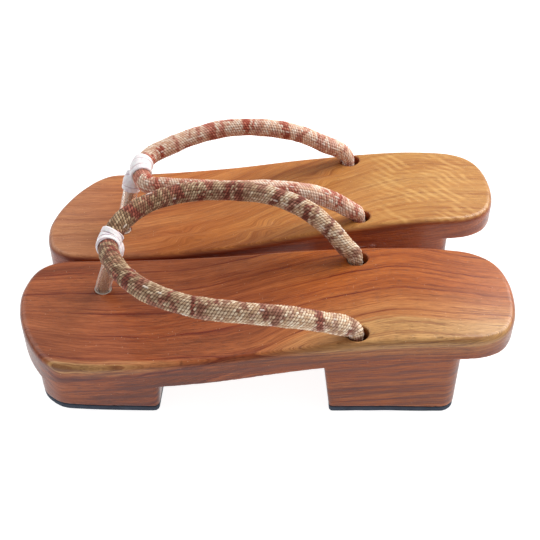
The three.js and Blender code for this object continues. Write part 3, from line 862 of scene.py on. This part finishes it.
def clear_sleeve():
    n = Nodes("clear_sleeve")
    place = n.attribute("grain", "Vector")
    streak = n.noise(n.scaled(place, (0.9, 0.9, 0.06)), detail=2)
    rough = n.range(streak, 0.3, 0.7, 0.04, 0.14, smooth=False)
    color = n.ramp(streak, [(0.3, (255, 236, 218)), (0.7, (255, 248, 238))])
    edge = n.add("LayerWeight", {"Blend": 0.35}, result=1)
    milky = n.math("MAXIMUM", n.range(edge, 0.3, 0.9, 0.08, 0.7), n.times(n.attribute("lip"), 0.85))
    clear = n.math("SUBTRACT", 0.92, milky)
    return n.finish(Base_Color=color, Roughness=rough, Normal=n.bump(streak, 0.1), IOR=1.4,
                    Transmission_Weight=clear, Coat_Weight=0.5, Coat_Roughness=0.05,
                    Sheen_Weight=0.6, Sheen_Roughness=0.35)


def cord():
    n = Nodes("cord")
    place = n.attribute("grain", "Vector")
    fibre = n.noise(n.scaled(place, (3.0, 3.0, 0.8)), detail=3, roughness=0.65)
    color = n.ramp(fibre, [(0.3, (196, 140, 104)), (0.6, (232, 192, 160)), (0.8, (244, 218, 192))])
    return n.finish(Base_Color=color, Roughness=0.8, Normal=n.bump(fibre, 0.2), Specular_IOR_Level=0.3)


# ---- Pieces ----


def make_soles(materials):
    """The sole's surface is worked out once and used for both feet."""
    points, faces = wrap(sole_field, (-2, -44.5, 1.5), (252, 44.5, 52), (1.0, 1.0, 1.0))
    normals = normals_of(sole_field, points)
    for foot in FEET:
        slot = foot + "_wood"
        piece = make_piece(foot + "_sole_wood", foot, points, faces, materials[slot])
        store(piece.data, "end_grain", smoothstep(np.abs(normals[:, 0]), 0.5, 0.95))
        store(piece.data, "upward", smoothstep(normals[:, 2], 0.3, 0.9))
        store(piece.data, "depth", ring_depth(foot, points))
        shade(piece, normals, foot)
        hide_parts(foot + "_sole")


def make_pads(material):
    for plan, name in ((FRONT_BLOCK, "front"), (HEEL_BLOCK, "heel")):
        low = (plan["start"] - 4, -44, -0.8)
        high = (plan["end"] + 4, 44, PAD_THICK + 0.8)
        points, faces = wrap(pad_field(plan), low, high, (0.8, 0.8, 0.4))
        normals = normals_of(pad_field(plan), points)
        for foot in FEET:
            piece = make_piece(f"{foot}_{name}_tread", foot, points, faces, material)
            shade(piece, normals, foot)
            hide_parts(f"{foot}_{name}_pad")


def into_hole(side):
    mouth, down = rear_hole(side)
    outwards = math.copysign(1, mouth[1])
    line = mouth + (STRAP_OFFSET_IN_HOLE, 0, 0)
    return [
        line + (-5.4, outwards * 1.9, 6.2),
        line + (-0.9, outwards * 0.5, 2.8),
        line + down * 2.5,
        line + down * STRAP_DEPTH_IN_HOLE,
    ]


def strap_axis(lie):
    inner = [*lie["inner"], *into_hole("inner")][::-1]
    outer = [*lie["outer"], *into_hole("outer")]
    points = centripetal([*inner, lie["apex"], *outer], False, 40)
    plain = Axis(points)
    apex = plain.nearest(np.array(lie["apex"]))
    return Axis(points, start=apex), apex


THREAD_ROWS = 20
THREAD_PITCH = 1.45
THREAD_SLANT = 0.45
THREAD_RISE = 0.5
STITCH_ROWS = (1, 6, 11, 16)
# How much painted shade each strap carries over its middle.
STRAP_SHADE = {"left": 1.0, "right": 0.35}


def dye_bands(random, length):
    """Dyed bands across the strap: where each lies along it, how long it is and how far round it reaches."""
    bands = []
    at = 3.0
    while at < length:
        bands.append({
            "at": at,
            "half": random.uniform(0.6, 2.6),
            "angle": random.uniform(0, TURN),
            "reach": random.uniform(0.6, 2.8),
            "lean": random.uniform(-1.2, 1.2),
            "depth": random.uniform(0.5, 1.0),
        })
        at += random.uniform(2.0, 6.0)
    return bands


def dyed(bands, lengths, angles, ragged):
    """How strongly each thread is dyed."""
    result = np.zeros(lengths.shape)
    for band in bands:
        off = (angles - band["angle"] + math.pi) % TURN - math.pi
        along = np.abs(lengths - band["at"] - band["lean"] * off) - band["half"] - ragged
        around = (np.abs(off) - band["reach"]) * 2.2 - ragged
        result = np.maximum(result, band["depth"] * smoothstep(np.maximum(along, around), 0.7, -0.7))
    return result


def stitched(random, lengths, rows, beside):
    """Where white lengthwise stitches lie on top, in a few rows."""
    result = np.zeros(lengths.shape)
    narrow = smoothstep(np.abs(beside - 0.5), 0.3, 0.14)
    for row in STITCH_ROWS:
        at = random.uniform(4, 14)
        while at < lengths.max():
            half = random.uniform(1.0, 1.9)
            here = (rows == row) * narrow
            result = np.maximum(result, here * smoothstep(np.abs(lengths - at), half, half - 0.7))
            at += 2 * half + random.choice([3.0, 16.0, 30.0, 48.0]) * random.uniform(0.8, 1.3)
    return result


def make_strap(foot, axis, apex, material):
    random = np.random.default_rng(20 + FEET[foot])
    around, per_pitch = 80, 4
    rings = int(axis.length / THREAD_PITCH * per_pitch)
    caps = 4
    lengths = np.linspace(0, axis.length, rings)
    from_end = np.minimum(lengths, axis.length - lengths)
    radius = np.minimum(
        mix(STRAP_RADIUS_IN_HOLE, STRAP_RADIUS,
            smoothstep(from_end, STRAP_DEPTH_IN_HOLE + 1, STRAP_DEPTH_IN_HOLE + 11)),
        mix(STRAP_RADIUS_AT_LOOP, STRAP_RADIUS,
            smoothstep(np.abs(lengths - apex), LOOP["width"] / 2 + 0.4, TAPE_BAND["width"] / 2)),
    )
    lump = 0.12 * np.sin(lengths / 5.3 + FEET[foot]) + 0.08 * np.sin(lengths / 2.1)
    radius = radius + lump * smoothstep(np.abs(lengths - apex), 9, 14)

    angle = np.arange(around) / around * TURN
    s, a = np.meshgrid(lengths, angle, indexing="ij")
    across = (a + math.pi) % TURN / TURN * THREAD_ROWS
    row = np.floor(across).astype(int)
    beside = across - row
    count = s / THREAD_PITCH + 0.5 * (row % 2) + THREAD_SLANT * (beside - 0.5)
    thread = np.floor(count).astype(int)
    lift = (0.25 + 0.75 * np.sin(math.pi * beside)) * np.abs(np.sin(math.pi * (count - thread))) ** 0.7
    ragged = random.normal(0, 0.6, (THREAD_ROWS, thread.max() + 2))[row, thread]
    dye = dyed(dye_bands(random, axis.length), s, a, ragged)
    stitch = stitched(random, s, row, beside)
    # Painted shade: the strap turns darker brown over its middle and fades out towards the holes.
    strap_shade = STRAP_SHADE[foot] * smoothstep(np.abs(s - apex), 150, 20)
    height = np.maximum(lift, 1.2 * stitch) * THREAD_RISE
    radii = radius[:, None] - THREAD_RISE * 0.7 + height

    close = np.linspace(0, 1, caps + 1)[1:]
    shrink = np.sqrt(1 - close[:-1] ** 2)
    first = radii[:1] * shrink[::-1, None]
    last = radii[-1:] * shrink[:, None]
    reach = close[:-1] * 1.5
    stations = np.concatenate([-reach[::-1], lengths, axis.length + reach])
    points, faces = turned(axis, stations, np.concatenate([first, radii, last]), closed=False)

    def with_caps(*fields):
        stacked = np.stack(np.broadcast_arrays(*fields), -1)
        ends = [stacked[:1].repeat(caps - 1, 0), stacked, stacked[-1:].repeat(caps - 1, 0)]
        return np.concatenate([np.concatenate(ends).reshape(-1, 3), stacked[[0, -1], 0]])

    piece = make_piece(foot + "_strap_weave", foot, points, faces, material)
    store(piece.data, "lay", with_caps(s, np.cos(a), np.sin(a)), "FLOAT_VECTOR")
    store(piece.data, "dye_stitch_shade", with_caps(dye, stitch, strap_shade), "FLOAT_VECTOR")
    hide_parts(foot + "_strap")


def wound_tape(foot, name, axis, start, end, tube, wind, random, material):
    """Tape wound in overlapping turns: each turn's free edge stands a little proud of the one below it."""
    around, along = 72, 64
    inner = tube["inner"]
    angle = np.arange(around) / around * TURN
    lengths = np.linspace(start, end, along)
    s, a = np.meshgrid(lengths, angle, indexing="ij")
    askew = wind["slant"] * np.sin(a + wind["phase"])
    count = (s - start + askew) / wind["pitch"] + a / TURN
    part = count - np.floor(count)
    edge = smoothstep(part, 0.0, 0.16) * smoothstep(part, 1.0, 0.9)
    swell = sum(
        random.uniform(0.03, 0.08) * np.sin(k * a + random.uniform(0, TURN) + s * random.uniform(-0.6, 0.6))
        for k in (2, 3, 5)
    )
    lips = np.sqrt(np.clip(1 - (1 - smoothstep(np.minimum(s - start, end - s), -0.05, 0.9)) ** 2, 0, 1))
    thick = (tube["outer"] - inner) * lips
    radii = inner + thick * (0.75 + 0.75 * edge * (0.6 + 0.4 * part)) + swell * lips
    back = np.full((8, around), inner)
    points, faces = turned(axis, np.concatenate([lengths, np.linspace(end, start, 8)]),
                           np.concatenate([radii, back]), closed=True)
    piece = make_piece(f"{foot}_{name}", foot, points, faces, material)
    # The crease between turns is kept for the material's painted shade.
    store(piece.data, "fold_shade", np.concatenate([(1 - edge).ravel(), np.ones(back.size)]))
    return piece


def towards_sleeve(strap, apex, sleeve):
    """The strap's centre over the toes, and the direction square to the strap towards the sleeve's top."""
    place, tangent = (v[0] for v in strap.at(np.array([apex]))[:2])
    reach = sleeve.points[-1] - place
    reach -= reach.dot(tangent) * tangent
    return place, reach / np.linalg.norm(reach)


def make_tapes(foot, strap, apex, sleeve, material):
    random = np.random.default_rng(40 + FEET[foot])
    half = TAPE_BAND["width"] / 2
    wind = {"pitch": 4.4, "slant": 0.9, "phase": 1.0}
    band = wound_tape(foot, "strap_binding", strap, apex - half, apex + half, TAPE_BAND, wind, random,
                      material)
    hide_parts(foot + "_strap_tape")
    place, down = towards_sleeve(strap, apex, sleeve)
    top = sleeve.length
    low = sleeve.at(np.linspace(top - TAPE_COLLAR["width"][foot] - 2, top, 9))[0]
    route = Axis(centripetal([*low, place + down * TAPE_BAND["inner"]], False, 16), up=(1, 0, 0))
    wind = {"pitch": 3.6, "slant": 0.8, "phase": 2.5}
    collar = wound_tape(foot, "sleeve_binding", route, 2, route.length, TAPE_COLLAR, wind, random,
                        material)
    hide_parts(foot + "_sleeve_tape")


def sleeve_axis(lie):
    x, y, _ = TOE_HOLE
    top = np.array(lie["sleeve_top"], float)
    leave = np.array([x, y, SLEEVE_BOTTOM + SLEEVE_LENGTH_IN_WOOD])
    points = [
        np.array([x, y, SLEEVE_BOTTOM]),
        np.array([x, y, SLEEVE_BOTTOM + SLEEVE_LENGTH_IN_WOOD / 2]),
        leave,
        mix(leave, top, 0.45),
        top,
    ]
    return Axis(centripetal(points, False, 24), up=(1, 0, 0))


def make_sleeve(foot, axis, material):
    around = 48
    lengths = np.linspace(0, axis.length, 160)
    heights = axis.at(lengths)[0][:, 2]
    lip = np.exp(-((heights - LIP_HEIGHT) / 0.45) ** 2)
    outer = SLEEVE_RADIUS + SLEEVE_LIP * lip
    outer[[0, -1]] -= 0.25
    stations = np.concatenate([lengths, lengths[::-1]])
    radii = np.concatenate([outer, np.full(len(lengths), SLEEVE_BORE)])
    points, faces = turned(axis, stations, np.repeat(radii[:, None], around, 1), closed=True)
    piece = make_piece(foot + "_clear_sleeve", foot, points, faces, material)
    store(piece.data, "lip", np.repeat(np.concatenate([lip, np.zeros(len(lip))]), around))
    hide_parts(foot + "_toe_sleeve")


def rope_radius(lengths, angles, radius):
    """Three strands twisted together."""
    phase = 1.5 * (angles - lengths / ROPE_LAY * TURN)
    return radius * (0.84 + 0.16 * np.abs(np.cos(phase)))


def knotted_cord(foot, name, axis, radius, knot, material):
    """A twisted cord that swells into a knot of wound turns between two stations."""
    around = 36
    low, high = knot
    lengths = np.linspace(0, axis.length, int(axis.length / 0.35))
    s, a = np.meshgrid(lengths, np.arange(around) / around * TURN, indexing="ij")
    plain = rope_radius(s, a, radius)
    middle, half = (low + high) / 2, (high - low) / 2
    barrel = KNOT_RADIUS * np.sqrt(np.clip(1 - (np.abs(s - middle) / half) ** 2.6, 0, 1))
    coil = (s - low) / KNOT_TURN + a / TURN
    wound = barrel * (0.86 + 0.14 * np.abs(np.sin(math.pi * coil)))
    radii = np.maximum(plain, wound)
    points, faces = turned(axis, lengths, radii, closed=False)
    return make_piece(f"{foot}_{name}", foot, points, faces, material)


def make_toe_cord(foot, strap, apex, sleeve, material):
    place, down = towards_sleeve(strap, apex, sleeve)
    meeting = place + down * (LOOP["inner"] + 0.25)
    x, y, _ = TOE_HOLE
    line = sleeve.at(np.append(np.linspace(0, sleeve.length, 5), sleeve.length + 1.6))[0]
    knot = [(x, y, z) for z in TOE_KNOT_HEIGHTS]
    path = centripetal([*knot, *line, meeting], False, 20)
    axis = Axis(path, up=(1, 0, 0))
    stem = knotted_cord(foot, "toe_tie", axis, TOE_CORD_RADIUS,
                        (0.0, TOE_KNOT_HEIGHTS[-1] - TOE_KNOT_HEIGHTS[0]), material)
    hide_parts(foot + "_toe_cord")
    half = LOOP["width"] / 2
    around = 48
    lengths = np.linspace(apex - half, apex + half, 20)
    s, a = np.meshgrid(lengths, np.arange(around) / around * TURN, indexing="ij")
    strand = np.abs(np.sin(math.pi * (s - apex + half) / 2.33))
    outer = LOOP["inner"] + 0.1 + (LOOP["outer"] - LOOP["inner"] - 0.1) * strand
    radii = np.concatenate([outer, np.full((6, around), LOOP["inner"])])
    stations = np.concatenate([lengths, np.linspace(apex + half, apex - half, 6)])
    points, faces = turned(strap, stations, radii, closed=True)
    ring = make_piece(foot + "_toe_tie_loop", foot, points, faces, material)
    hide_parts(foot + "_toe_cord")


def make_rear_cord(foot, side, material):
    mouth, down = rear_hole(side)
    pocket_y = math.copysign(REAR_POCKET["y"], mouth[1])
    top = mouth + (STRAP_OFFSET_IN_HOLE, 0, 0) + down * (STRAP_DEPTH_IN_HOLE + 0.4)
    knot = [(mouth[0], pocket_y, z) for z in REAR_KNOT_HEIGHTS]
    axis = Axis(centripetal([top, top + down * 6, mouth + down * 25, *knot], False, 20), up=(1, 0, 0))
    piece = knotted_cord(foot, "rear_tie_" + side, axis, REAR_CORD_RADIUS,
                         (axis.length - REAR_KNOT_LENGTH, axis.length), material)
    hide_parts(f"{foot}_rear_cord_{side}")


# ---- The studio ----


def paper():
    """A pale floor that keeps a faint, soft shadow where the clogs stand on it."""
    n = Nodes("paper")
    place = n.add("TexCoord", result=3)
    grain = n.noise(place, scale=60.0, detail=2)
    color = n.ramp(grain, [(0.3, (178, 178, 180)), (0.7, (184, 184, 185))])
    return n.finish(Base_Color=color, Roughness=0.9, Specular_IOR_Level=0.0,
                    Emission_Color=(1.0, 1.0, 1.0, 1.0), Emission_Strength=0.92)


def make_floor():
    mesh = bpy.data.meshes.new("floor")
    reach, count = 6.0, 24
    angle = np.arange(count) / count * TURN
    rim = np.stack([np.cos(angle) * reach, np.sin(angle) * reach, np.zeros(count)], -1)
    mesh.from_pydata(rim.tolist(), [], [list(range(count))])
    mesh.materials.append(paper())
    floor = bpy.data.objects.new("floor", mesh)
    bpy.context.scene.collection.objects.link(floor)


def make_sky():
    world = bpy.data.worlds.new("studio")
    world.use_nodes = True
    back = world.node_tree.nodes["Background"]
    back.inputs["Color"].default_value = (1.0, 1.0, 1.0, 1.0)
    back.inputs["Strength"].default_value = SKY
    bpy.context.scene.world = world
    bpy.context.scene.view_settings.view_transform = "Standard"


# ---- Everything in its place ----

materials = {
    "left_wood": wood("left"),
    "right_wood": wood("right"),
    "rubber": rubber(),
    "left_cloth": strap_cloth("left"),
    "right_cloth": strap_cloth("right"),
    "tape": tape(),
    "clear_sleeve": clear_sleeve(),
    "cord": cord(),
}

make_sky()
make_floor()
make_soles(materials)
make_pads(materials["rubber"])
for foot, lie in STRAP_LIES.items():
    strap, apex = strap_axis(lie)
    sleeve = sleeve_axis(lie)
    make_strap(foot, strap, apex, materials[foot + "_cloth"])
    make_tapes(foot, strap, apex, sleeve, materials["tape"])
    make_sleeve(foot, sleeve, materials["clear_sleeve"])
    make_toe_cord(foot, strap, apex, sleeve, materials["cord"])
    for side in REAR_HOLES:
        make_rear_cord(foot, side, materials["cord"])
